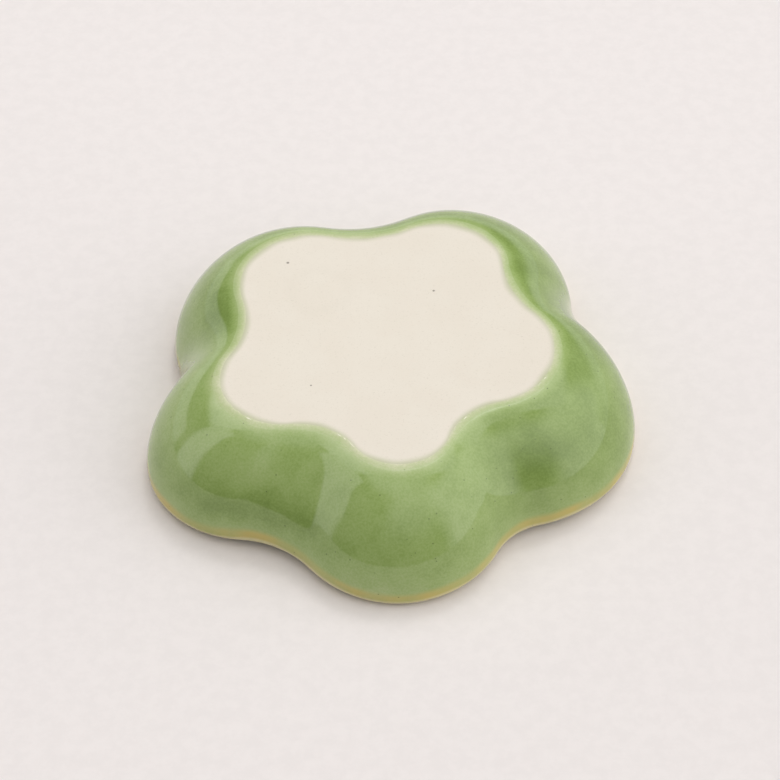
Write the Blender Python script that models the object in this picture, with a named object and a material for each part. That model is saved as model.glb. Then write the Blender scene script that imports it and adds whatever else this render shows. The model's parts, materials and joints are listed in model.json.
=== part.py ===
"""Plum-blossom mixing palette of glazed stoneware, lying upside down on its rim.

A five-petal dish about 90 mm across and 20 mm deep. One lump of clay is pressed over
a mould, which leaves a bowl in each petal and one in the middle, and is then dipped in
a green glaze that is kept off the flat foot and runs thin on the rim. The fired clay
and the two coats of glaze are one hard thing, so nothing in it moves.

Metres, +Z up. The rim's lowest stretch touches z = 0, the foot faces +Z, and the
origin is in the middle of the dish's outline.
"""

import math
from collections import namedtuple

import bmesh
import bpy
from mathutils import Vector

MM = 0.001

# How high the dish is, and how its wall leaves the foot and comes down to the rim.
HEIGHT = 20.0 * MM
WALL_CURVE = 1.7
FOOT_EDGE_DROP = 0.3 * MM
FOOT_EDGE_INSET = 0.5 * MM
RIM_ROUND = 1.65 * MM

# A petal is an arc: the way it points in degrees, how far out it reaches, its radius,
# and the radius of the valley that joins it to the next one. The dish is pressed by
# hand, so no two are alike, and the rim rides a little higher in the valleys.
Petal = namedtuple("Petal", "bearing reach radius valley rim_lift valley_lift", defaults=(0.0, 0.0))
RIM = (
    Petal(-85.5, 45.5 * MM, 20.0 * MM, 12.7 * MM, 0.0 * MM, 0.9 * MM),
    Petal(-13.0, 46.0 * MM, 24.5 * MM, 21.0 * MM, 0.2 * MM, 0.8 * MM),
    Petal(58.5, 49.0 * MM, 20.5 * MM, 22.3 * MM, 0.0 * MM, 0.8 * MM),
    Petal(136.0, 46.0 * MM, 22.5 * MM, 15.0 * MM, 0.0 * MM, 0.8 * MM),
    Petal(208.5, 46.0 * MM, 19.5 * MM, 20.0 * MM, 0.5 * MM, 1.3 * MM),
)
FOOT = (
    Petal(-83.5, 30.4 * MM, 9.2 * MM, 12.2 * MM),
    Petal(-8.5, 30.4 * MM, 13.8 * MM, 19.8 * MM),
    Petal(61.0, 32.5 * MM, 11.5 * MM, 22.0 * MM),
    Petal(134.5, 32.2 * MM, 13.1 * MM, 17.3 * MM),
    Petal(209.0, 31.6 * MM, 11.2 * MM, 12.0 * MM),
)

# The bowls on the wells side: one in each petal and one inside a round ridge.
FLOOR_THICKNESS = 5.0 * MM
RIDGE_RING_RADIUS = 12.5 * MM
RIDGE_RING_HEIGHT = 6.0 * MM
DEEPEST = 0.5
ACROSS_FLATNESS = 2.2
ALONG_FLATNESS = 1.6

# The coats of glaze, and the clearance that keeps them off the clay.
GLAZE_THICKNESS = 0.6 * MM
CLEARANCE = 0.3 * MM

# How finely the shapes are cut up.
TURN_STEPS = 64
WALL_STEPS = 8
CREST_STEPS = 4
WELL_STEPS = 5
CENTRE_STEPS = 4
NUDGE = 1e-4


# ---------------------------------------------------------------- the dish's outlines

def fillet_between(petal, following):
    """The centre and the end bearings of the arc that joins a petal to the next."""
    gap = math.radians((following.bearing - petal.bearing) % 360.0)
    first = petal.reach - petal.radius
    second = following.reach - following.radius
    start = Vector((first, 0.0))
    end = Vector((second * math.cos(gap), second * math.sin(gap)))
    from_start = petal.radius + petal.valley
    from_end = following.radius + petal.valley
    span = (end - start).length
    along = (from_start ** 2 - from_end ** 2 + span ** 2) / (2.0 * span)
    aside = math.sqrt(from_start ** 2 - along ** 2)
    ahead = (end - start) / span
    outward = Vector((ahead.y, -ahead.x))
    centre = start + ahead * along + outward * aside
    touch = (start + (centre - start) * petal.radius / from_start,
             end + (centre - end) * following.radius / from_end)
    return centre, [math.atan2(point.y, point.x) for point in touch]


def petals_beside(petals, bearing):
    """The petals on both sides of a bearing, the turn from the first, and their gap."""
    for petal, following in zip(petals, petals[1:] + petals[:1]):
        gap = math.radians((following.bearing - petal.bearing) % 360.0)
        turn = (bearing - math.radians(petal.bearing)) % math.tau
        if turn <= gap:
            return petal, following, turn, gap
    return petals[0], petals[1], 0.0, math.radians(petals[1].bearing - petals[0].bearing)


def outline_radius(petals, bearing):
    """How far an outline of petals and valleys lies from the middle, at a bearing."""
    petal, following, turn, gap = petals_beside(petals, bearing)
    centre, touch = fillet_between(petal, following)
    if touch[0] < turn < touch[1]:
        offset = turn - math.atan2(centre.y, centre.x)
        side = centre.length * math.sin(offset)
        return centre.length * math.cos(offset) - math.sqrt(petal.valley ** 2 - side ** 2)
    if turn >= touch[1]:
        petal = following
        turn -= gap
    middle = petal.reach - petal.radius
    side = middle * math.sin(turn)
    return middle * math.cos(turn) + math.sqrt(petal.radius ** 2 - side ** 2)


def rim_height(bearing):
    """The height of the rim's crest over the table."""
    petal, following, turn, gap = petals_beside(RIM, bearing)
    fraction = turn / gap
    near = petal.rim_lift if fraction < 0.5 else following.rim_lift
    rise = 0.5 - 0.5 * math.cos(math.tau * fraction)
    return near + (petal.valley_lift - near) * rise


# ------------------------------------------------------------- the skin of the dish

def foot_point(bearing, fraction):
    """The flat foot, from its middle to its edge."""
    edge = outline_radius(FOOT, bearing) - FOOT_EDGE_INSET
    return edge * fraction, HEIGHT


def wall_point(bearing, fraction):
    """The outer wall, from the foot's edge down to the rim's outer shoulder."""
    foot = outline_radius(FOOT, bearing)
    rim = outline_radius(RIM, bearing)
    shoulder = rim_height(bearing) + RIM_ROUND
    top = HEIGHT - FOOT_EDGE_DROP
    angle = 0.5 * math.pi * fraction
    out = max(math.sin(angle), 0.0) ** (2.0 / WALL_CURVE)
    up = max(math.cos(angle), 0.0) ** (2.0 / WALL_CURVE)
    return foot + (rim - foot) * out, shoulder + (top - shoulder) * up


def crest_point(bearing, fraction):
    """The rounded rim, over its crest from the outer to the inner shoulder."""
    angle = math.pi * fraction
    radius = outline_radius(RIM, bearing) - RIM_ROUND * (1.0 - math.cos(angle))
    return radius, rim_height(bearing) + RIM_ROUND * (1.0 - math.sin(angle))


def well_point(bearing, fraction):
    """The petal bowls and the ridges between them, from the rim in to the ridge ring."""
    along = 1.0 - fraction
    inner_edge = outline_radius(RIM, bearing) - 2.0 * RIM_ROUND
    if along > DEEPEST:
        angle = 0.5 * math.pi * (along - DEEPEST) / (1.0 - DEEPEST)
        out = max(math.sin(angle), 0.0) ** (2.0 / WALL_CURVE)
        along = DEEPEST + (1.0 - DEEPEST) * out
        depth = max(math.cos(angle), 0.0) ** (2.0 / WALL_CURVE)
    else:
        depth = math.sin(0.5 * math.pi * along / DEEPEST) ** 2
        depth = 1.0 - (1.0 - depth) ** ALONG_FLATNESS
    radius = RIDGE_RING_RADIUS + (inner_edge - RIDGE_RING_RADIUS) * along
    shoulder = rim_height(bearing) + RIM_ROUND
    ridge = RIDGE_RING_HEIGHT + (shoulder - RIDGE_RING_HEIGHT) * along ** 2
    _, _, turn, gap = petals_beside(RIM, bearing)
    across = math.cos(math.pi * turn / gap) ** 2
    across = 1.0 - (1.0 - across) ** ACROSS_FLATNESS
    return radius, ridge + (HEIGHT - FLOOR_THICKNESS - ridge) * depth * across


def centre_point(bearing, fraction):
    """The middle bowl, from the ridge ring to its lowest point."""
    out = 1.0 - fraction
    depth = 1.0 - math.sin(0.5 * math.pi * out) ** (2.0 * ALONG_FLATNESS)
    floor = HEIGHT - FLOOR_THICKNESS
    return RIDGE_RING_RADIUS * out, RIDGE_RING_HEIGHT + (floor - RIDGE_RING_HEIGHT) * depth


def in_space(stretch, bearing, fraction):
    """A point of the skin, with the outline's own centre at the origin."""
    radius, height = stretch(bearing, fraction)
    return Vector((radius * math.cos(bearing), radius * math.sin(bearing), height))


def skin_point(station, bearing):
    """A point under the skin, at a station's depth measured square to the skin."""
    stretch, fraction, depth = station
    point = in_space(stretch, bearing, fraction)
    if depth == 0.0:
        return point
    round_the_dish = (in_space(stretch, bearing + NUDGE, fraction)
                      - in_space(stretch, bearing - NUDGE, fraction))
    down_the_section = (in_space(stretch, bearing, min(fraction + NUDGE, 1.0))
                        - in_space(stretch, bearing, max(fraction - NUDGE, 0.0)))
    if round_the_dish.length < NUDGE * MM:
        return point - Vector((0.0, 0.0, -depth))
    return point - down_the_section.cross(round_the_dish).normalized() * depth


def outline_middle():
    """The middle of the rim outline's box."""
    points = [in_space(wall_point, math.tau * step / TURN_STEPS, 1.0) for step in range(TURN_STEPS)]
    return Vector((0.5 * (min(point.x for point in points) + max(point.x for point in points)),
                   0.5 * (min(point.y for point in points) + max(point.y for point in points)),
                   0.0))


# ------------------------------------------------------- turning sections into solids

def stations(stretch, first, last, steps, depth=0.0):
    """Evenly spaced stations on one stretch of the skin, both ends included."""
    return [(stretch, first + (last - first) * step / steps, depth) for step in range(steps + 1)]


def turned_piece(name, section, closed, material):
    """Spins a section of stations round the dish and draws each ring to the outline."""
    mesh = bmesh.new()
    place = mesh.verts.layers.int.new("station")
    column = []
    for index, station in enumerate(section):
        vertex = mesh.verts.new(skin_point(station, 0.0))
        vertex[place] = index
        column.append(vertex)
    for vertex, following in zip(column, column[1:]):
        mesh.edges.new((vertex, following))
    if closed:
        mesh.edges.new((column[-1], column[0]))
    bmesh.ops.spin(mesh, geom=mesh.verts[:] + mesh.edges[:], cent=(0.0, 0.0, 0.0),
                   axis=(0.0, 0.0, 1.0), angle=math.tau, steps=TURN_STEPS, use_merge=True)
    middle = outline_middle()
    for vertex in mesh.verts:
        bearing = math.atan2(vertex.co.y, vertex.co.x)
        vertex.co = skin_point(section[vertex[place]], bearing) - middle
    bmesh.ops.remove_doubles(mesh, verts=mesh.verts, dist=1e-6)
    bmesh.ops.recalc_face_normals(mesh, faces=mesh.faces)
    data = bpy.data.meshes.new(name)
    mesh.to_mesh(data)
    mesh.free()
    data.shade_smooth()
    data.materials.append(material)
    piece = bpy.data.objects.new(name, data)
    bpy.context.scene.collection.objects.link(piece)
    return piece


def finish(name, colour, roughness):
    """A plain non-metal surface."""
    material = bpy.data.materials.new(name)
    material.use_nodes = True
    surface = material.node_tree.nodes["Principled BSDF"]
    surface.inputs["Base Color"].default_value = (*colour, 1.0)
    surface.inputs["Roughness"].default_value = roughness
    surface.inputs["Metallic"].default_value = 0.0
    return material


# ------------------------------------------------------------------------ the pieces

# Where the outer coat starts below the foot and stops above the rim, and where the
# wells' coat starts inside the rim, each as a fraction of its stretch of the skin.
# The clay steps down into a coat's bed a little before the coat begins.
OUTER_COAT = (0.10, 0.95)
WELL_COAT_START = 0.06
STEP = 0.03
BED = GLAZE_THICKNESS + CLEARANCE


def make_clay_body():
    """The fired clay: bare on the foot and the rim, sunk by a bed under each coat."""
    section = stations(foot_point, 0.0, 1.0, 2)
    section += stations(wall_point, 0.0, OUTER_COAT[0] - 2.0 * STEP, 1)
    section += [(wall_point, OUTER_COAT[0] - STEP, BED)]
    section += stations(wall_point, *OUTER_COAT, WALL_STEPS, BED)
    section += [(wall_point, 1.0, 0.0)]
    section += stations(crest_point, 1.0 / CREST_STEPS, 1.0, CREST_STEPS - 1)
    section += [(well_point, WELL_COAT_START - STEP, BED)]
    section += stations(well_point, WELL_COAT_START, 0.5, WELL_STEPS, BED)
    section += stations(well_point, 0.5, 1.0, WELL_STEPS, BED)[1:]
    section += stations(centre_point, 0.0, 1.0, CENTRE_STEPS, BED)[1:]
    return turned_piece("clay_body", section, False, finish("bare_clay", (0.80, 0.72, 0.60), 0.85))


def make_outer_glaze():
    """The coat on the outside of the wall."""
    skin = stations(wall_point, *OUTER_COAT, WALL_STEPS)
    back = stations(wall_point, *OUTER_COAT, WALL_STEPS, GLAZE_THICKNESS)
    return turned_piece("outer_glaze", skin + back[::-1], True,
                        finish("green_glaze", (0.24, 0.30, 0.10), 0.15))


def make_well_glaze():
    """The coat over the bowls and the ridges."""
    def coat(depth):
        """The coat's face at one depth, from its edge to the middle of the dish."""
        face = stations(well_point, WELL_COAT_START, 0.5, WELL_STEPS, depth)
        face += stations(well_point, 0.5, 1.0, WELL_STEPS, depth)[1:]
        return face + stations(centre_point, 0.0, 1.0, CENTRE_STEPS, depth)[1:]
    section = coat(0.0)[::-1] + coat(GLAZE_THICKNESS)
    return turned_piece("well_glaze", section, False,
                        finish("well_green_glaze", (0.22, 0.29, 0.10), 0.12))


for leftover in list(bpy.data.objects):
    bpy.data.objects.remove(leftover, do_unlink=True)
make_clay_body()
make_outer_glaze()
make_well_glaze()
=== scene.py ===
import json
import math
from collections import namedtuple
from functools import lru_cache

import bmesh
import bpy
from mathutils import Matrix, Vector, noise


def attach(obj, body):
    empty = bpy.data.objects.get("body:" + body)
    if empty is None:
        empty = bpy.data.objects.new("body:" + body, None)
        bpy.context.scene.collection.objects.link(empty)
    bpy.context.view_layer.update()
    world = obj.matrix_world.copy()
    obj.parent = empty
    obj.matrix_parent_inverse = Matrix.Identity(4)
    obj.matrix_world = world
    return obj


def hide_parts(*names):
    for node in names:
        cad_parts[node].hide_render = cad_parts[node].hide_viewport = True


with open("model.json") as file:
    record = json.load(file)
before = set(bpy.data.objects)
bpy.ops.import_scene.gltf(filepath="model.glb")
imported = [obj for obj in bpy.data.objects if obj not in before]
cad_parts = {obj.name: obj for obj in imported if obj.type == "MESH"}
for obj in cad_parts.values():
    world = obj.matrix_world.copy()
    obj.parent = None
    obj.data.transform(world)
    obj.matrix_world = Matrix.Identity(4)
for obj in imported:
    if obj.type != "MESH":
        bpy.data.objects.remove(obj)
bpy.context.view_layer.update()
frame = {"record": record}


# ---------------------------------------------------------------------------------
# Fired clay body
# One lump of cream stoneware, pressed over a mould that leaves a bowl in each petal
# and one in the middle. Its flat foot is wiped clean of glaze before the firing, so
# only there does the clay show.
# ---------------------------------------------------------------------------------
MM = 0.001

foot_mount = next(mount for mount in frame["record"]["mounts"] if mount["name"] == "foot")
dish_middle = Vector((foot_mount["pos_m"][0], foot_mount["pos_m"][1], 0.0))
# The wiped foot lies this much under the drawn height, which leaves room for the beads
# of glaze, and the fired rim lies this much inside its drawn outline.
WIPED_AWAY = 0.15 * MM
DRAWN_IN = 0.11 * MM
dish_height = foot_mount["pos_m"][2] - WIPED_AWAY
WALL_CURVE = 1.7
RIM_ROUND = 1.65 * MM

# A petal is an arc: the way it points in degrees, how far out it reaches, its radius,
# the radius of the valley that joins it to the next one, and the rim's lift there.
Petal = namedtuple("Petal", "bearing reach radius valley rim_lift valley_lift", defaults=(0.0, 0.0))
RIM = (
    Petal(-85.5, 45.5 * MM, 20.0 * MM, 12.7 * MM, 0.0 * MM, 0.9 * MM),
    Petal(-13.0, 46.0 * MM, 24.5 * MM, 21.0 * MM, 0.2 * MM, 0.8 * MM),
    Petal(58.5, 49.0 * MM, 20.5 * MM, 22.3 * MM, 0.0 * MM, 0.8 * MM),
    Petal(136.0, 46.0 * MM, 22.5 * MM, 15.0 * MM, 0.0 * MM, 0.8 * MM),
    Petal(208.5, 46.0 * MM, 19.5 * MM, 20.0 * MM, 0.5 * MM, 1.3 * MM),
)
FOOT = (
    Petal(-83.5, 30.4 * MM, 9.2 * MM, 12.2 * MM),
    Petal(-8.5, 30.4 * MM, 13.8 * MM, 19.8 * MM),
    Petal(61.0, 32.5 * MM, 11.5 * MM, 22.0 * MM),
    Petal(134.5, 32.2 * MM, 13.1 * MM, 17.3 * MM),
    Petal(209.0, 31.6 * MM, 11.2 * MM, 12.0 * MM),
)
FLOOR_THICKNESS = 5.0 * MM
RIDGE_RING_RADIUS = 12.5 * MM
RIDGE_RING_HEIGHT = 6.0 * MM
DEEPEST = 0.5
ACROSS_FLATNESS = 2.2
ALONG_FLATNESS = 1.6
TURN_STEPS = 480
NUDGE = 1e-3


def fillet_between(petal, following):
    """The centre and the end bearings of the arc that joins a petal to the next."""
    gap = math.radians((following.bearing - petal.bearing) % 360.0)
    start = Vector((petal.reach - petal.radius, 0.0))
    end = (following.reach - following.radius) * Vector((math.cos(gap), math.sin(gap)))
    from_start = petal.radius + petal.valley
    from_end = following.radius + petal.valley
    span = (end - start).length
    along = (from_start ** 2 - from_end ** 2 + span ** 2) / (2.0 * span)
    aside = math.sqrt(from_start ** 2 - along ** 2)
    ahead = (end - start) / span
    centre = start + ahead * along + Vector((ahead.y, -ahead.x)) * aside
    touch = (start + (centre - start) * petal.radius / from_start,
             end + (centre - end) * following.radius / from_end)
    return centre, [math.atan2(point.y, point.x) for point in touch]


def petals_beside(petals, bearing):
    """The petals on both sides of a bearing, the turn from the first, and their gap."""
    for petal, following in zip(petals, petals[1:] + petals[:1]):
        gap = math.radians((following.bearing - petal.bearing) % 360.0)
        turn = (bearing - math.radians(petal.bearing)) % math.tau
        if turn <= gap:
            return petal, following, turn, gap
    return petals[0], petals[1], 0.0, math.radians(petals[1].bearing - petals[0].bearing)


def outline_radius(petals, bearing):
    """How far an outline of petals and valleys lies from the middle, at a bearing."""
    petal, following, turn, gap = petals_beside(petals, bearing)
    centre, touch = fillet_between(petal, following)
    if touch[0] < turn < touch[1]:
        offset = turn - math.atan2(centre.y, centre.x)
        side = centre.length * math.sin(offset)
        return centre.length * math.cos(offset) - math.sqrt(petal.valley ** 2 - side ** 2)
    if turn >= touch[1]:
        petal = following
        turn -= gap
    middle = petal.reach - petal.radius
    side = middle * math.sin(turn)
    return middle * math.cos(turn) + math.sqrt(petal.radius ** 2 - side ** 2)


# What every height of the dish shares at one bearing: the reach of the foot and the
# rim, the height of the rim's crest, and how far from a valley's middle it is, from
# 0 in the valley to 1 on the petal.
Section = namedtuple("Section", "bearing foot rim crest on_petal")


@lru_cache(maxsize=None)
def section_at(step):
    """The dish's section at one step of the turn, which may be a part of a step."""
    bearing = math.tau * step / TURN_STEPS
    petal, following, turn, gap = petals_beside(RIM, bearing)
    fraction = turn / gap
    near = petal.rim_lift if fraction < 0.5 else following.rim_lift
    crest = near + (petal.valley_lift - near) * (0.5 - 0.5 * math.cos(math.tau * fraction))
    on_petal = math.cos(math.pi * fraction) ** 2
    rim = outline_radius(RIM, bearing) - DRAWN_IN
    return Section(bearing, outline_radius(FOOT, bearing), rim, crest, on_petal)


def foot_face(section, fraction):
    """The flat foot, from its middle to its edge."""
    return section.foot * fraction, dish_height


def outer_wall(section, fraction):
    """The wall, from the foot's edge down to the rim's outer shoulder."""
    shoulder = section.crest + RIM_ROUND
    angle = 0.5 * math.pi * fraction
    out = max(math.sin(angle), 0.0) ** (2.0 / WALL_CURVE)
    up = max(math.cos(angle), 0.0) ** (2.0 / WALL_CURVE)
    radius = section.foot + (section.rim - section.foot) * out
    return radius, shoulder + (dish_height - shoulder) * up


def rim_crest(section, fraction):
    """The rounded rim, from its outer to its inner shoulder."""
    angle = math.pi * fraction
    radius = section.rim - RIM_ROUND * (1.0 - math.cos(angle))
    return radius, section.crest + RIM_ROUND * (1.0 - math.sin(angle))


def petal_bowls(section, fraction):
    """The petal bowls and the ridges between them, from the rim in to the ridge ring."""
    along = 1.0 - fraction
    inner_edge = section.rim - 2.0 * RIM_ROUND
    if along > DEEPEST:
        angle = 0.5 * math.pi * (along - DEEPEST) / (1.0 - DEEPEST)
        along = DEEPEST + (1.0 - DEEPEST) * max(math.sin(angle), 0.0) ** (2.0 / WALL_CURVE)
        depth = max(math.cos(angle), 0.0) ** (2.0 / WALL_CURVE)
    else:
        depth = math.sin(0.5 * math.pi * along / DEEPEST) ** 2
        depth = 1.0 - (1.0 - depth) ** ALONG_FLATNESS
    radius = RIDGE_RING_RADIUS + (inner_edge - RIDGE_RING_RADIUS) * along
    shoulder = section.crest + RIM_ROUND
    ridge = RIDGE_RING_HEIGHT + (shoulder - RIDGE_RING_HEIGHT) * along ** 2
    across = 1.0 - (1.0 - section.on_petal) ** ACROSS_FLATNESS
    return radius, ridge + (dish_height - FLOOR_THICKNESS - ridge) * depth * across


def middle_bowl(section, fraction):
    """The middle bowl, from the ridge ring to its lowest point."""
    out = 1.0 - fraction
    depth = 1.0 - math.sin(0.5 * math.pi * out) ** (2.0 * ALONG_FLATNESS)
    floor = dish_height - FLOOR_THICKNESS
    return RIDGE_RING_RADIUS * out, RIDGE_RING_HEIGHT + (floor - RIDGE_RING_HEIGHT) * depth


def in_space(stretch, fraction, step):
    """A point of the skin in the row's frame."""
    section = section_at(step)
    radius, height = stretch(section, fraction)
    return dish_middle + Vector((radius * math.cos(section.bearing),
                                 radius * math.sin(section.bearing), height))


def skin_at(stretch, fraction, step):
    """A point of the skin and the way that its face looks."""
    point = in_space(stretch, fraction, step)
    if (point - dish_middle).xy.length < 0.01 * MM:
        return point, Vector((0.0, 0.0, 1.0 if stretch is foot_face else -1.0))
    round_the_dish = (in_space(stretch, fraction, step + 0.5)
                      - in_space(stretch, fraction, step - 0.5))
    down_the_section = (in_space(stretch, min(fraction + NUDGE, 1.0), step)
                        - in_space(stretch, max(fraction - NUDGE, 0.0), step))
    return point, down_the_section.cross(round_the_dish).normalized()


def smooth(low, high, value):
    """A soft step from 0 at low to 1 at high."""
    share = min(max((value - low) / (high - low), 0.0), 1.0)
    return share * share * (3.0 - 2.0 * share)


def run_from_foot(section, point):
    """How far a point of the wall is from the foot's edge, less than 0 on the foot."""
    out = (point - dish_middle).xy.length - section.foot
    return math.copysign(math.hypot(out, dish_height - point.z), out)


# How thick the coats are, which is how deep the clay lies under them: nothing at the
# foot's edge, full a little way down the wall, and thin where they break on the rim.
GLAZE_THICKNESS = 0.6 * MM
RIM_GLAZE_THICKNESS = 0.15 * MM
GLAZE_REACHES_FULL = 3.0 * MM
RIM_THINS_FROM = 5.0 * MM


def glaze_thickness(stretch, section, point):
    """The thickness of the glaze on a point of the skin."""
    if stretch is foot_face:
        return 0.0
    thin = 1.0 - smooth(0.0, RIM_THINS_FROM, point.z - section.crest)
    full = GLAZE_THICKNESS + (RIM_GLAZE_THICKNESS - GLAZE_THICKNESS) * thin
    if stretch is outer_wall:
        return full * smooth(0.0, GLAZE_REACHES_FULL, run_from_foot(section, point))
    return full


HAND_WAVE_SIZE = 16.0 * MM
HAND_WAVE_HEIGHT = 0.05 * MM
WAVE_STOPS_BELOW_FOOT = 2.0 * MM

# A shallow dent that the presser's thumb left half way down the wall, which the bowls
# have at the same bearing: that bearing and its half width in degrees, and its depth.
DENT_BEARING = -108.5
DENT_SPREAD = 8.0
DENT_DEPTH = 0.60 * MM


def hand_wave(point):
    """The slow unevenness that pressing by hand leaves, as a height over the skin, with
    none of it on the rim or on the wiped foot."""
    out = point - dish_middle
    away = (math.degrees(math.atan2(out.y, out.x)) - DENT_BEARING + 180.0) % 360.0 - 180.0
    share_of_height = point.z / dish_height
    half_way = smooth(0.1, 0.55, share_of_height) * smooth(1.0, 0.75, share_of_height)
    dent = DENT_DEPTH * math.exp(-(away / DENT_SPREAD) ** 2) * half_way
    over_rim = smooth(2.0 * RIM_ROUND, 4.0 * RIM_ROUND, point.z)
    under_foot = smooth(0.0, WAVE_STOPS_BELOW_FOOT, dish_height - point.z)
    wave = over_rim * under_foot * HAND_WAVE_HEIGHT * noise.noise(point / HAND_WAVE_SIZE)
    return wave - dent


# A ring of vertices on a turned piece: which stretch of the skin it is on, how far
# along it, and whether it is on the skin's face or on the clay under the glaze.
Ring = namedtuple("Ring", "stretch fraction under", defaults=(False,))


def rings(stretch, first, last, count, under=False):
    """Evenly spaced rings on one stretch of the skin, both ends included."""
    return [Ring(stretch, first + (last - first) * number / count, under)
            for number in range(count + 1)]


def turn_round_dish(name, profile, closed, face_height, marks):
    """Spins a profile of rings round the dish, draws every ring to the outline, and
    marks each vertex with the values that its finish reads."""
    mesh = bmesh.new()
    ring_number = mesh.verts.layers.int.new("ring")
    mark_layers = {mark: mesh.verts.layers.float.new(mark) for mark in marks}
    column = []
    for number, ring in enumerate(profile):
        depth = RIM_ROUND * number / len(profile)
        radius = (in_space(ring.stretch, ring.fraction, 0) - dish_middle).xy.length
        vertex = mesh.verts.new((radius, 0.0, depth))
        vertex[ring_number] = number
        column.append(vertex)
    for vertex, following in zip(column, column[1:]):
        mesh.edges.new((vertex, following))
    if closed:
        mesh.edges.new((column[-1], column[0]))
    bmesh.ops.spin(mesh, geom=mesh.verts[:] + mesh.edges[:], cent=(0.0, 0.0, 0.0),
                   axis=(0.0, 0.0, 1.0), angle=math.tau, steps=TURN_STEPS, use_merge=True)
    for vertex in mesh.verts:
        ring = profile[vertex[ring_number]]
        step = round(math.atan2(vertex.co.y, vertex.co.x) / math.tau * TURN_STEPS) % TURN_STEPS
        section = section_at(step)
        point, outward = skin_at(ring.stretch, ring.fraction, step)
        for mark, measure in marks.items():
            vertex[mark_layers[mark]] = measure(ring.stretch, section, point)
        vertex.co = point + outward * face_height(ring, section, point)
    bmesh.ops.remove_doubles(mesh, verts=mesh.verts, dist=0.001 * MM)
    bmesh.ops.recalc_face_normals(mesh, faces=mesh.faces)
    data = bpy.data.meshes.new(name)
    mesh.to_mesh(data)
    mesh.free()
    data.shade_smooth()
    piece = bpy.data.objects.new(name, data)
    bpy.context.scene.collection.objects.link(piece)
    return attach(piece, "root")


def clay_height(ring, section, point):
    """The clay's face: the skin on the foot, and as deep as the glaze under a coat."""
    return hand_wave(point) - glaze_thickness(ring.stretch, section, point)


# How far from the foot's edge the glaze stains the bare clay, and how that edge wanders.
FLASHING_STARTS = -1.5 * MM
FLASHING_ENDS = 0.2 * MM
EDGE_WANDERS = 0.5 * MM
EDGE_WANDER_SIZE = 5.0 * MM


def flashing(stretch, section, point):
    """How much the glaze has stained the bare clay next to it, from 0 to 1."""
    wobble = EDGE_WANDERS * noise.noise(point / EDGE_WANDER_SIZE)
    return smooth(FLASHING_STARTS, FLASHING_ENDS, run_from_foot(section, point) + wobble)


clay = turn_round_dish(
    "fired_clay",
    rings(foot_face, 0.0, 0.88, 22)
    + rings(foot_face, 0.89, 1.0, 11)
    + rings(outer_wall, 0.01, 1.0, 30)
    + rings(rim_crest, 0.1, 1.0, 9)
    + rings(petal_bowls, 0.03, 1.0, 36)
    + rings(middle_bowl, 0.08, 1.0, 12),
    False, clay_height, {"flashing": flashing})
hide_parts("clay_body")


def add_node(tree, kind, **settings):
    """A shader node, with its settings and its sockets' values by name."""
    made = tree.nodes.new(kind)
    for setting, value in settings.items():
        if hasattr(made, setting):
            setattr(made, setting, value)
        else:
            made.inputs[setting.replace("_", " ").title()].default_value = value
    return made


def new_finish(name, roughness, ior):
    """A material, its tree, its Principled shader and its object coordinates."""
    material = bpy.data.materials.new(name)
    material.use_nodes = True
    tree = material.node_tree
    surface = tree.nodes["Principled BSDF"]
    surface.inputs["Roughness"].default_value = roughness
    surface.inputs["IOR"].default_value = ior
    places = tree.nodes.new("ShaderNodeTexCoord").outputs["Object"]
    return material, tree, surface, places


def noise_of(tree, places, size, detail=2.0, roughness=0.5):
    """A noise pattern whose grains are about this size."""
    made = add_node(tree, "ShaderNodeTexNoise")
    made.inputs["Scale"].default_value = 1.0 / size
    made.inputs["Detail"].default_value = detail
    made.inputs["Roughness"].default_value = roughness
    tree.links.new(places, made.inputs["Vector"])
    return made.outputs["Fac"]


def fitted(tree, value, low, high, to_low=0.0, to_high=1.0):
    """A value moved from one range to another with soft ends."""
    made = add_node(tree, "ShaderNodeMapRange", interpolation_type="SMOOTHSTEP")
    tree.links.new(value, made.inputs["Value"])
    made.inputs["From Min"].default_value = low
    made.inputs["From Max"].default_value = high
    made.inputs["To Min"].default_value = to_low
    made.inputs["To Max"].default_value = to_high
    return made.outputs["Result"]


def worked_out(tree, operation, first, second):
    """A sum on two values, each a socket or a number."""
    made = add_node(tree, "ShaderNodeMath", operation=operation)
    for socket, value in zip(made.inputs, (first, second)):
        if isinstance(value, (int, float)):
            socket.default_value = value
        else:
            tree.links.new(value, socket)
    return made.outputs["Value"]


def mixed(tree, share, first, second, blend="MIX"):
    """Two colours mixed by a share, each a socket or three numbers."""
    made = add_node(tree, "ShaderNodeMix", data_type="RGBA", blend_type=blend)
    sockets = (made.inputs[0], made.inputs[6], made.inputs[7])
    for socket, value in zip(sockets, (share, first, second)):
        if isinstance(value, (int, float)):
            socket.default_value = value
        elif isinstance(value, tuple):
            socket.default_value = (*value, 1.0)
        else:
            tree.links.new(value, socket)
    return made.outputs[2]


def raised(tree, surface, layers):
    """Fine relief from patterns: each layer is a height socket and its rise in metres."""
    normal = None
    for height, rise in layers:
        made = add_node(tree, "ShaderNodeBump")
        made.inputs["Distance"].default_value = rise
        tree.links.new(height, made.inputs["Height"])
        if normal is not None:
            tree.links.new(normal, made.inputs["Normal"])
        normal = made.outputs["Normal"]
    tree.links.new(normal, surface.inputs["Normal"])


def spot(tree, places, where, radius):
    """A soft round spot on the foot, 1 inside and 0 outside."""
    made = add_node(tree, "ShaderNodeVectorMath", operation="DISTANCE")
    tree.links.new(places, made.inputs[0])
    made.inputs[1].default_value = (*(dish_middle.xy + Vector(where)), dish_height)
    return fitted(tree, made.outputs["Value"], 0.6 * radius, 1.2 * radius, 1.0, 0.0)


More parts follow.
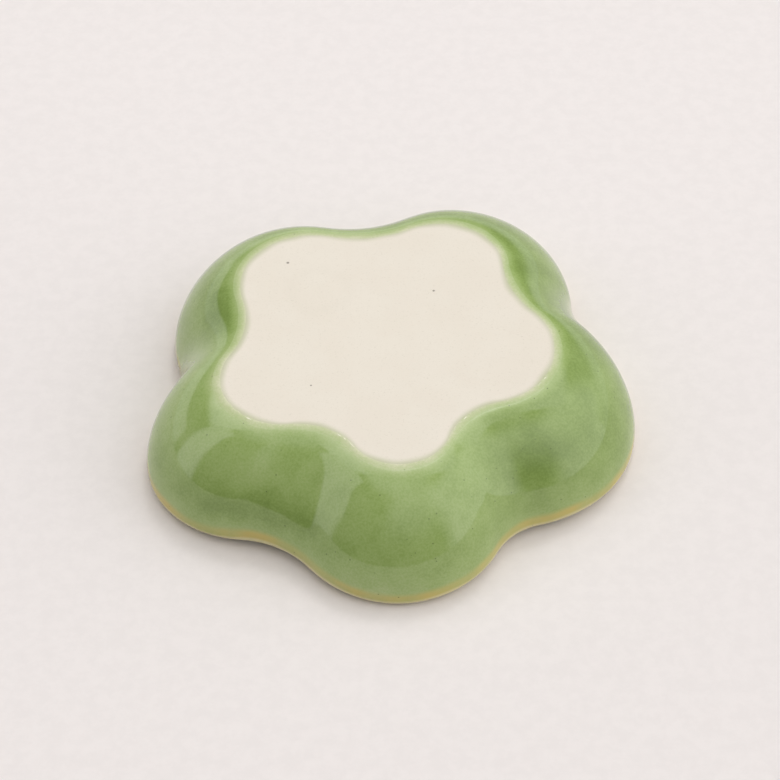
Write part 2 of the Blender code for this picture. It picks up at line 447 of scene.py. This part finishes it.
CLAY_CREAM = (0.775, 0.718, 0.63)
CLAY_PALE = (0.785, 0.732, 0.646)
CLAY_FLASHED = (0.52, 0.535, 0.36)
CLAY_SPECK = (0.46, 0.42, 0.33)
IRON_SPECK = (0.16, 0.13, 0.10)
# Iron specks that fired through on the foot: where they are from its middle, and how big.
FOOT_SPECKS = (
    ((-17.8 * MM, 19.2 * MM), 0.28 * MM),
    ((8.8 * MM, 11.9 * MM), 0.24 * MM),
    ((-12.9 * MM, -11.7 * MM), 0.18 * MM),
)
FOOT_SPECK_STRENGTH = 0.75
# The faint round mark of the setter that the dish was fired on.
SETTER_RING_PLACE = (-12.0 * MM, 12.0 * MM)
SETTER_RING_RADIUS = 5.6 * MM
SETTER_RING_STRENGTH = 0.09


def bare_clay():
    """Matt cream stoneware with a fine grain, faint speckle and a few iron specks."""
    material, tree, surface, places = new_finish("bare_clay", 0.82, 1.45)
    cloud = noise_of(tree, places, 9.0 * MM, 3.0)
    colour = mixed(tree, fitted(tree, cloud, 0.35, 0.65), CLAY_CREAM, CLAY_PALE)
    stained = add_node(tree, "ShaderNodeAttribute", attribute_name="flashing").outputs["Fac"]
    colour = mixed(tree, stained, colour, CLAY_FLASHED)
    grain = noise_of(tree, places, 0.35 * MM, 4.0, 0.7)
    colour = mixed(tree, fitted(tree, grain, 0.56, 0.74, 0.0, 0.30), colour, CLAY_SPECK)
    for where, radius in FOOT_SPECKS:
        here = worked_out(tree, "MULTIPLY", spot(tree, places, where, radius), FOOT_SPECK_STRENGTH)
        colour = mixed(tree, here, colour, IRON_SPECK)
    outside = spot(tree, places, SETTER_RING_PLACE, SETTER_RING_RADIUS + 0.5 * MM)
    inside = spot(tree, places, SETTER_RING_PLACE, SETTER_RING_RADIUS - 0.3 * MM)
    ring = worked_out(tree, "SUBTRACT", outside, inside)
    ring = worked_out(tree, "MULTIPLY", ring, SETTER_RING_STRENGTH)
    colour = mixed(tree, ring, colour, CLAY_SPECK)
    tree.links.new(colour, surface.inputs["Base Color"])
    tree.links.new(fitted(tree, grain, 0.3, 0.7, 0.74, 0.88), surface.inputs["Roughness"])
    raised(tree, surface, [(grain, 0.03 * MM), (noise_of(tree, places, 2.5 * MM), 0.06 * MM)])
    return material


clay.data.materials.append(bare_clay())


# ---------------------------------------------------------------------------------
# Coat of glaze on the outer wall
# Translucent green glaze that the dish is dipped in. It starts thin and pale at the
# wiped foot, where it has crept into a small bead here and there whose crest is painted
# near white as a painted highlight of glints, is deeper in colour in a few patches on
# the wall, and breaks to amber and cream where it runs thin on the rim.
# ---------------------------------------------------------------------------------
# How the coat's edge lies: where it starts, as a share of the foot's reach, how high its
# lip stands, and how deep its back is tucked into the clay.
EDGE_ON_FOOT = 0.987
EDGE_LIP = 0.01 * MM
LIP_STARTS = -0.4 * MM
LIP_FALLS_FROM = 0.3 * MM
LIP_ENDS = 1.8 * MM
EDGE_TUCK = 0.02 * MM
TUCK_ENDS = -0.1 * MM
COAT_BEDS_IN = 0.03 * MM
BEAD_PLACE = 0.05 * MM
BEAD_WIDTH = 0.28 * MM
BEAD_LENGTH = 1.4 * MM

# Where the glaze has crept into a bead along the foot's edge: the bearing, how far to
# each side in degrees, and how high it stands.
Bead = namedtuple("Bead", "bearing spread height")
BEADS = (
    Bead(-143.0, 4.5, 0.12 * MM),
    Bead(-105.0, 4.5, 0.12 * MM),
    Bead(-56.0, 3.0, 0.11 * MM),
    Bead(-20.0, 3.5, 0.12 * MM),
    Bead(30.0, 4.0, 0.05 * MM),
    Bead(100.0, 6.0, 0.05 * MM),
)


def turned_from(section, bearing):
    """How many degrees a section is turned from a bearing, to either side."""
    return (math.degrees(section.bearing) - bearing + 180.0) % 360.0 - 180.0


def bead_height(section, point):
    """How far the bead along the foot's edge stands up at a point of the wall."""
    across = math.exp(-((run_from_foot(section, point) - BEAD_PLACE) / BEAD_WIDTH) ** 2)
    height = 0.0
    for bead in BEADS:
        away = turned_from(section, bead.bearing)
        height += bead.height * math.exp(-(away / bead.spread) ** 2)
    broken = 0.5 + 1.1 * noise.noise(point / BEAD_LENGTH)
    return height * across * max(broken, 0.0)


def outer_coat_height(ring, section, point):
    """The coat's faces: the skin with its lip and bead outside, the clay inside."""
    if ring.under:
        return clay_height(ring, section, point) - COAT_BEDS_IN - EDGE_TUCK
    run = run_from_foot(section, point)
    lip = EDGE_LIP * smooth(LIP_STARTS, 0.0, run) * (1.0 - smooth(LIP_FALLS_FROM, LIP_ENDS, run))
    tuck = EDGE_TUCK * (1.0 - smooth(LIP_STARTS, TUCK_ENDS, run))
    return hand_wave(point) + lip - tuck + bead_height(section, point)


# The coat's colour deepens from the foot's edge to the wall, and thins towards the rim.
FADE_STARTS = -2.1 * MM
FADE_ENDS = 3.4 * MM
WALL_DEPTH = 0.72
DRAINED_BY = 0.12
UNEVEN_BY = 0.06

# The coat's colour is deeper towards one side, and in a few darker patches: the bearing
# and half width of a patch in degrees, its height, its half height, and how much deeper
# its colour is.
DEEPER_SIDE = 50.0
DEEPER_SIDE_BY = 0.09
DarkPatch = namedtuple("DarkPatch", "bearing spread height rise deeper")
DARK_PATCHES = (
    DarkPatch(-126.0, 22.0, 9.5 * MM, 3.5 * MM, 0.22),
    DarkPatch(-42.0, 13.0, 14.0 * MM, 3.5 * MM, 0.16),
    DarkPatch(14.0, 12.0, 14.0 * MM, 3.5 * MM, 0.12),
    DarkPatch(166.0, 12.0, 17.5 * MM, 2.5 * MM, 0.22),
)


def coat_depth(stretch, section, point):
    """How deep the glaze's colour is: 0 at its edges, about 0.7 on the wall, 1 in the darkest
    patches.
    """
    run = run_from_foot(section, point)
    wobble = EDGE_WANDERS * noise.noise(point / EDGE_WANDER_SIZE)
    start = smooth(FADE_STARTS, FADE_ENDS, run + wobble)
    drained = 1.0 - smooth(2.0 * MM, 8.0 * MM, point.z - section.crest)
    side = DEEPER_SIDE_BY * math.cos(math.radians(turned_from(section, DEEPER_SIDE)))
    uneven = UNEVEN_BY * noise.noise(point / (9.0 * MM))
    deepened = WALL_DEPTH + side - DRAINED_BY * drained + uneven
    for patch in DARK_PATCHES:
        across = turned_from(section, patch.bearing) / patch.spread
        along = (point.z - patch.height) / patch.rise
        deepened += patch.deeper * math.exp(-across ** 2 - along ** 2)
    return start * deepened


GLASSY_FROM = 0.2 * MM
GLASSY_AT = 2.2 * MM
BEAD_WETNESS = 0.8


def wetness(stretch, section, point):
    """How glassy the glaze is: dry where it starts thin, full on the wall, most of it in a bead."""
    started = smooth(GLASSY_FROM, GLASSY_AT, run_from_foot(section, point))
    in_bead = smooth(0.02 * MM, 0.05 * MM, bead_height(section, point))
    return max(started, BEAD_WETNESS * in_bead)


def painted_glint(stretch, section, point):
    """Where the bead stands high, from 0 to 1: there its colour is painted near white as a painted
    highlight of glints.
    """
    return smooth(0.045 * MM, 0.075 * MM, bead_height(section, point))


BREAK_FULL_BELOW = 0.8 * MM
BREAK_STARTS_AT = 5.0 * MM


def rim_break(stretch, section, point):
    """How far the glaze has broken on the rim: 0 on the wall, 1 on the crest."""
    wobble = 0.5 * MM * noise.noise(point / (7.0 * MM))
    height = point.z - section.crest + wobble
    return 1.0 - smooth(BREAK_FULL_BELOW, BREAK_STARTS_AT, height)


def coat_rings(under):
    """The rings of the outer coat's face, or of its back, from the foot to the crest."""
    coarser = 3 if under else 1
    return (rings(foot_face, EDGE_ON_FOOT, 1.0, 4, under)
            + rings(outer_wall, 0.005, 0.09, 18 // coarser, under)
            + rings(outer_wall, 0.10, 1.0, 54 // coarser, under)
            + rings(rim_crest, 0.05, 0.5, 9 // coarser, under))


outer_coat = turn_round_dish("outer_coat", coat_rings(False) + coat_rings(True)[::-1], True,
                             outer_coat_height,
                             {"coat_depth": coat_depth, "rim_break": rim_break,
                              "wetness": wetness, "painted_glint": painted_glint})
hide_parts("outer_glaze")

# The glaze's colour from its thinnest to its deepest, as shares of coat_depth.
GLAZE_COLOURS = (
    (0.00, (0.78, 0.72, 0.60)),
    (0.12, (0.63, 0.63, 0.45)),
    (0.25, (0.52, 0.56, 0.32)),
    (0.45, (0.38, 0.48, 0.195)),
    (0.64, (0.295, 0.405, 0.125)),
    (0.80, (0.22, 0.32, 0.075)),
    (1.00, (0.12, 0.195, 0.03)),
)
AMBER = (0.53, 0.44, 0.12)
RIM_CREAM = (0.66, 0.60, 0.33)
GLAZE_SPECK = (0.05, 0.07, 0.02)
# Near-white colour painted on the beads' crests, a painted highlight of glints.
PAINTED_GLINT_WHITE = (0.93, 0.90, 0.78)
DRY_ROUGHNESS = 0.55
GLASSY_ROUGHNESS = 0.06
GLAZE_IOR = 1.62
MOTTLE_DEPTH = 0.04
GRAIN_DEPTH = 0.05
SPECK_SPACING = 2.2 * MM


def green_glaze(name):
    """Glossy green glaze over cream clay, coloured by how deep it lies."""
    material, tree, surface, places = new_finish(name, GLASSY_ROUGHNESS, GLAZE_IOR)
    wet = add_node(tree, "ShaderNodeAttribute", attribute_name="wetness").outputs["Fac"]
    roughness = fitted(tree, wet, 0.0, 1.0, DRY_ROUGHNESS, GLASSY_ROUGHNESS)
    tree.links.new(roughness, surface.inputs["Roughness"])
    depth = add_node(tree, "ShaderNodeAttribute", attribute_name="coat_depth").outputs["Fac"]
    broken = add_node(tree, "ShaderNodeAttribute", attribute_name="rim_break").outputs["Fac"]
    cloud = noise_of(tree, places, 4.0 * MM, 3.0)
    grain = noise_of(tree, places, 0.4 * MM, 3.0, 0.6)
    mottled = fitted(tree, cloud, 0.3, 0.7, -MOTTLE_DEPTH, MOTTLE_DEPTH)
    depth = worked_out(tree, "ADD", depth, mottled)
    grained = fitted(tree, grain, 0.3, 0.7, -GRAIN_DEPTH, GRAIN_DEPTH)
    depth = worked_out(tree, "ADD", depth, grained)
    ramp = add_node(tree, "ShaderNodeValToRGB")
    ramp.color_ramp.interpolation = "B_SPLINE"
    for place, colour in GLAZE_COLOURS[1:-1]:
        ramp.color_ramp.elements.new(place)
    for stop, (place, colour) in zip(ramp.color_ramp.elements, GLAZE_COLOURS):
        stop.position = place
        stop.color = (*colour, 1.0)
    tree.links.new(depth, ramp.inputs["Fac"])
    streaks = noise_of(tree, places, 10.0 * MM, 2.0)
    streaks = fitted(tree, streaks, 0.38, 0.62, 0.45, 1.0)
    amber = worked_out(tree, "MULTIPLY", fitted(tree, broken, 0.12, 0.60), streaks)
    colour = mixed(tree, amber, ramp.outputs["Color"], AMBER)
    colour = mixed(tree, fitted(tree, broken, 0.80, 1.0), colour, RIM_CREAM)
    specks = add_node(tree, "ShaderNodeTexVoronoi")
    specks.inputs["Scale"].default_value = 1.0 / SPECK_SPACING
    tree.links.new(places, specks.inputs["Vector"])
    specks_here = fitted(tree, specks.outputs["Distance"], 0.03, 0.08, 0.65, 0.0)
    colour = mixed(tree, specks_here, colour, GLAZE_SPECK)
    # Painted highlight: the bead's crest is painted near white to stand in for the lamp's glints.
    glint_share = add_node(tree, "ShaderNodeAttribute", attribute_name="painted_glint").outputs["Fac"]
    colour = mixed(tree, glint_share, colour, PAINTED_GLINT_WHITE)
    tree.links.new(colour, surface.inputs["Base Color"])
    raised(tree, surface, [(noise_of(tree, places, 3.0 * MM, 1.0), 0.02 * MM)])
    return material


outer_coat.data.materials.append(green_glaze("outer_glaze"))


# ---------------------------------------------------------------------------------
# Coat of glaze over the bowls
# The same dip of glaze on the side that holds the paint. It lies thin on the ridges
# between the bowls and runs down into them, so that each bowl has a dark pool.
# ---------------------------------------------------------------------------------
RIDGE_DEPTH = 0.42
POOL_DEPTH = 0.95


def bowl_coat_height(ring, section, point):
    """The coat's faces: the skin outside, the clay inside."""
    if ring.under:
        return clay_height(ring, section, point) - COAT_BEDS_IN
    return hand_wave(point)


def bowl_depth(stretch, section, point):
    """How deep the glaze's colour is, from the ridges down to the bowls' floors."""
    down = smooth(RIDGE_RING_HEIGHT - 3.0 * MM, dish_height - FLOOR_THICKNESS, point.z)
    return RIDGE_DEPTH + (POOL_DEPTH - RIDGE_DEPTH) * down + 0.05 * noise.noise(point / (6.0 * MM))


def bowl_rings(under):
    """The rings of the bowls' coat or of its back, from the crest to the middle."""
    coarser = 2 if under else 1
    return (rings(rim_crest, 0.5, 0.98, 8 // coarser, under)
            + rings(petal_bowls, 0.02, 1.0, 56 // coarser, under)
            + rings(middle_bowl, 0.06, 1.0, 16 // coarser, under))


bowl_coat = turn_round_dish("bowl_coat", bowl_rings(False)[::-1] + bowl_rings(True), False,
                            bowl_coat_height,
                            {"coat_depth": bowl_depth, "rim_break": rim_break,
                             "wetness": wetness, "painted_glint": painted_glint})
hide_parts("well_glaze")
bowl_coat.data.materials.append(green_glaze("well_glaze"))


# ---------------------------------------------------------------------------------
# Table, light and camera
# A sheet of white paper, a soft pale studio round it with a dark side towards the front
# left, a tall pale card on the left, a wide window on the right, and a lamp high behind.
# None of it belongs to the dish.
# ---------------------------------------------------------------------------------
PAPER_HALF = 2.0
PAPER_WHITE = (0.82, 0.778, 0.772)

paper_mesh = bmesh.new()
bmesh.ops.create_grid(paper_mesh, x_segments=1, y_segments=1, size=PAPER_HALF)
paper_data = bpy.data.meshes.new("paper")
paper_mesh.to_mesh(paper_data)
paper_mesh.free()
paper = bpy.data.objects.new("paper", paper_data)
bpy.context.scene.collection.objects.link(paper)


def white_paper():
    """Matt white paper with a faint tooth."""
    material, tree, surface, places = new_finish("white_paper", 0.9, 1.4)
    surface.inputs["Specular IOR Level"].default_value = 0.1
    cloud = noise_of(tree, places, 3.0 * MM, 4.0, 0.7)
    shade = tuple(0.97 * channel for channel in PAPER_WHITE)
    colour = mixed(tree, fitted(tree, cloud, 0.35, 0.65), shade, PAPER_WHITE)
    tree.links.new(colour, surface.inputs["Base Color"])
    return material


paper_data.materials.append(white_paper())

# A pale field of the studio: the azimuth of its middle and its half width in degrees
# (0 is the camera's side, and the right is positive), its lowest and highest
# elevation, how soft its edges are, how bright it is, and how far it leans with height.
Field = namedtuple("Field", "azimuth half_width low high soft bright lean", defaults=(0.0,))
# What no field covers is dark.
STUDIO_DARK = 0.20
FIELDS = (
    Field(30.0, 40.0, 28.0, 100.0, 18.0, 1.05),
    Field(126.0, 20.0, -10.0, 46.0, 8.0, 0.55),
    Field(85.0, 34.0, -10.0, 57.0, 11.0, 1.60),
    Field(-81.5, 12.0, -10.0, 60.0, 3.0, 1.40, -0.10),
    Field(180.0, 77.0, -10.0, 13.0, 6.0, 1.10),
    Field(-128.0, 24.0, -10.0, 16.0, 2.0, 1.15),
    Field(122.0, 22.0, -10.0, 10.0, 2.0, 1.10),
    Field(180.0, 82.0, 44.0, 100.0, 5.0, 1.85),
    Field(0.0, 181.0, 68.0, 100.0, 8.0, 1.10),
)
STUDIO_TINT = (1.0, 0.985, 0.965)
BACKGROUND = (0.86, 0.82, 0.80)


def studio_light():
    """The studio as a field of light, and a plain pale background where it is seen."""
    world = bpy.data.worlds.new("studio")
    world.use_nodes = True
    tree = world.node_tree
    tree.nodes.clear()
    direction = tree.nodes.new("ShaderNodeTexCoord").outputs["Generated"]
    parts = tree.nodes.new("ShaderNodeSeparateXYZ")
    tree.links.new(direction, parts.inputs["Vector"])
    x, y, z = parts.outputs
    front = worked_out(tree, "MULTIPLY", y, -1.0)
    azimuth = worked_out(tree, "ARCTAN2", x, front)
    azimuth = worked_out(tree, "MULTIPLY", azimuth, math.degrees(1.0))
    elevation = worked_out(tree, "ARCSINE", z, 0.0)
    elevation = worked_out(tree, "MULTIPLY", elevation, math.degrees(1.0))
    bright = STUDIO_DARK
    for field in FIELDS:
        leant = worked_out(tree, "MULTIPLY", elevation, field.lean)
        turned = worked_out(tree, "SUBTRACT", azimuth, leant)
        turned = worked_out(tree, "SUBTRACT", turned, field.azimuth)
        wrap = add_node(tree, "ShaderNodeMath", operation="WRAP")
        tree.links.new(turned, wrap.inputs[0])
        wrap.inputs[1].default_value = 180.0
        wrap.inputs[2].default_value = -180.0
        away = worked_out(tree, "ABSOLUTE", wrap.outputs[0], 0.0)
        inside = fitted(tree, away, field.half_width - field.soft, field.half_width + field.soft,
                        1.0, 0.0)
        above = fitted(tree, elevation, field.low - field.soft, field.low + field.soft)
        below = fitted(tree, elevation, field.high - field.soft, field.high + field.soft, 1.0, 0.0)
        share = worked_out(tree, "MULTIPLY", inside, above)
        share = worked_out(tree, "MULTIPLY", share, below)
        gap = worked_out(tree, "SUBTRACT", field.bright, bright)
        bright = worked_out(tree, "ADD", bright, worked_out(tree, "MULTIPLY", gap, share))
    light = add_node(tree, "ShaderNodeBackground")
    light.inputs["Color"].default_value = (*STUDIO_TINT, 1.0)
    tree.links.new(bright, light.inputs["Strength"])
    seen = add_node(tree, "ShaderNodeBackground")
    seen.inputs["Color"].default_value = (*BACKGROUND, 1.0)
    either = tree.nodes.new("ShaderNodeMixShader")
    tree.links.new(tree.nodes.new("ShaderNodeLightPath").outputs["Is Camera Ray"], either.inputs[0])
    tree.links.new(light.outputs[0], either.inputs[1])
    tree.links.new(seen.outputs[0], either.inputs[2])
    output = tree.nodes.new("ShaderNodeOutputWorld")
    tree.links.new(either.outputs[0], output.inputs["Surface"])
    bpy.context.scene.world = world


studio_light()
bpy.context.scene.view_settings.view_transform = "Standard"


def towards(azimuth, elevation):
    """A direction, from its azimuth off the camera's side and its elevation."""
    turn = math.radians(azimuth)
    rise = math.radians(elevation)
    level = math.cos(rise)
    return Vector((math.sin(turn) * level, -math.cos(turn) * level, math.sin(rise)))


LAMP_DIRECTION = towards(165.0, 62.0)
LAMP_DISTANCE = 0.8
LAMP_WIDTH = 0.17
LAMP_POWER = 0.75

lamp_data = bpy.data.lights.new("lamp", "AREA")
lamp_data.shape = "DISK"
lamp_data.size = LAMP_WIDTH
lamp_data.energy = LAMP_POWER
lamp = bpy.data.objects.new("lamp", lamp_data)
lamp.location = LAMP_DIRECTION * LAMP_DISTANCE
lamp.rotation_euler = LAMP_DIRECTION.to_track_quat("Z", "Y").to_euler()
bpy.context.scene.collection.objects.link(lamp)

VIEW_DIRECTION = towards(0.0, 46.7)
VIEW_DISTANCE = 0.465
VIEW_TARGET = dish_middle + Vector((0.9 * MM, 5.9 * MM, 0.0))
LENS = 115.9

camera_data = bpy.data.cameras.new("camera")
camera_data.lens = LENS
camera_data.sensor_width = 36.0
camera = bpy.data.objects.new("camera", camera_data)
camera.location = VIEW_TARGET + VIEW_DIRECTION * VIEW_DISTANCE
camera.rotation_euler = VIEW_DIRECTION.to_track_quat("Z", "Y").to_euler()
bpy.context.scene.collection.objects.link(camera)
bpy.context.scene.camera = camera
